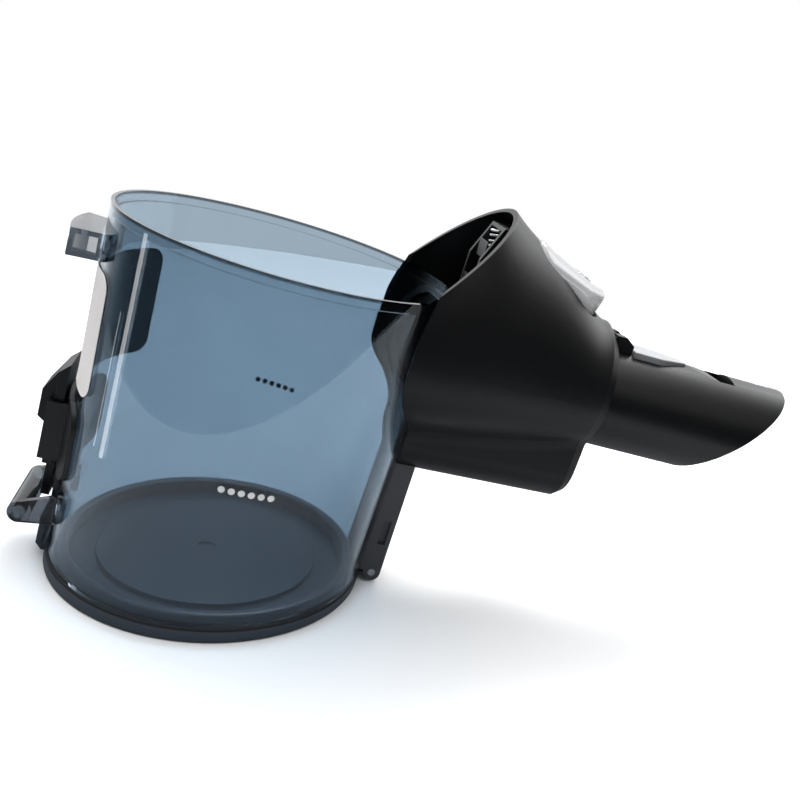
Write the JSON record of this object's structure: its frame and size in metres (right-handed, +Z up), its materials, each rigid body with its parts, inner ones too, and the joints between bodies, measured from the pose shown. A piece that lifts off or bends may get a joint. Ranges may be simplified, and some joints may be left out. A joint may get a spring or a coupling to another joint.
{
  "type": "vacuum dust bin",
  "caption": "Smoked clear vacuum dust bin with a hinged bottom lid, thumb latch, black nozzle hood with release button, and an oblique suction tube.",
  "frame": {"origin": "foot of the cup's axis on the lid's level underside, which rests on the table", "axes": "+X towards the suction tube, +Z up, square to the lid; the cup leans 8.3 degrees towards +X"},
  "size_m": [0.2533, 0.107, 0.1297],
  "materials": {
    "smoked_plastic": "clear smoked polycarbonate, glossy",
    "black_plastic": "satin moulded black",
    "tube_plastic": "satin moulded black",
    "lid_plastic": "satin moulded dark grey",
    "button_plastic": "glossy light grey",
    "insert_plastic": "satin light grey",
    "seal_rubber": "matt rubber",
    "steel": "bright drawn wire",
    "contact_metal": "plated contact strip",
    "lead_cover": "insulated lead",
    "label_paper": "blank white sticker"
  },
  "bodies": {
    "cup": {"bin_shell": "smoked_plastic", "hinge_rail": "black_plastic", "hinge_pin": "steel", "latch_base": "black_plastic", "latch_spring": "steel", "rear_label": "label_paper", "inlet_pipe": "tube_plastic", "inlet_gasket": "seal_rubber", "tube_insert": "insert_plastic", "nozzle_housing": "black_plastic", "lever_pin": "steel", "release_spring": "steel", "spring_post": "black_plastic", "docking_socket": "black_plastic", "lead_wires": "lead_cover", "contact_block": "black_plastic", "contact_pins": "contact_metal"},
    "lid": {"lid_panel": "lid_plastic", "lid_seal": "seal_rubber"},
    "slider": {"latch_slider": "black_plastic"},
    "release": {"release_button": "button_plastic", "release_lever": "black_plastic"}
  },
  "joints": [
    {"name": "lid_hinge", "type": "hinge", "parent": "cup", "child": "lid", "pos_m": [0.056, 0, 0.0034], "axis": [0, -1, 0], "range_deg": [0, 100]},
    {"name": "latch_slide", "type": "slide", "parent": "cup", "child": "slider", "axis": [-0.1444, 0, -0.9895], "range_m": [0, 0.006], "stiffness_N_per_m": 250, "springref_m": -0.006, "deforming": ["latch_spring"]},
    {"name": "release_press", "type": "hinge", "parent": "cup", "child": "release", "pos_m": [0.08996, 0, 0.11238], "axis": [0, 1, 0], "range_deg": [0, 7], "stiffness_Nm_per_rad": 0.4, "springref_deg": -6.88, "deforming": ["release_spring"]}
  ]
}
